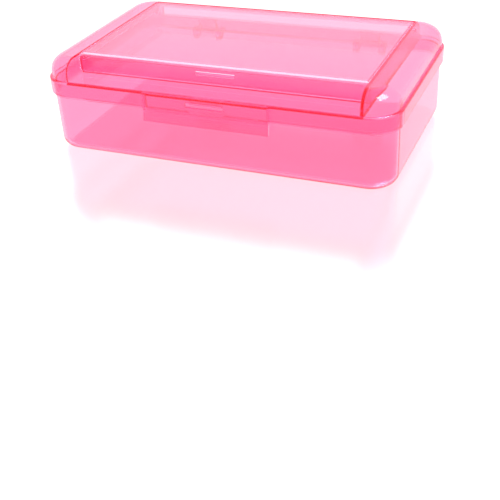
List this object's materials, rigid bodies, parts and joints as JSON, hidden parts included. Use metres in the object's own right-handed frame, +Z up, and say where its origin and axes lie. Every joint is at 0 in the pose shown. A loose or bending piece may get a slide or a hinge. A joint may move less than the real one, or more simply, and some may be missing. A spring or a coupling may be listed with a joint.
{
  "type": "double-deck pencil case",
  "caption": "Translucent plastic pencil case: a deep box, a hinged lid whose top is a shallow tray between two rounded end caps, and a clear flap lid over that tray.",
  "frame": {"origin": "centre of the flat underside of the box", "axes": "+X along the case's length, -Y towards the front with the latch, +Z up"},
  "size_m": [0.208, 0.1327, 0.0548],
  "materials": {
    "pink_box": "polished translucent pink plastic",
    "pink_lid": "polished translucent pink plastic",
    "pale_lid": "polished, clearer and paler pink plastic"
  },
  "bodies": {
    "box": {"base_box": "pink_box"},
    "main_lid": {"lid_tray": "pink_lid"},
    "clear_lid": {"top_lid": "pale_lid"}
  },
  "joints": [
    {"name": "main_lid_hinge", "type": "hinge", "parent": "box", "child": "main_lid", "pos_m": [0, 0.0643, 0.0326], "axis": [-1, 0, 0], "range_deg": [0, 100]},
    {"name": "clear_lid_hinge", "type": "hinge", "parent": "main_lid", "child": "clear_lid", "pos_m": [0, 0.0475, 0.0498], "axis": [-1, 0, 0], "range_deg": [0, 105]}
  ]
}
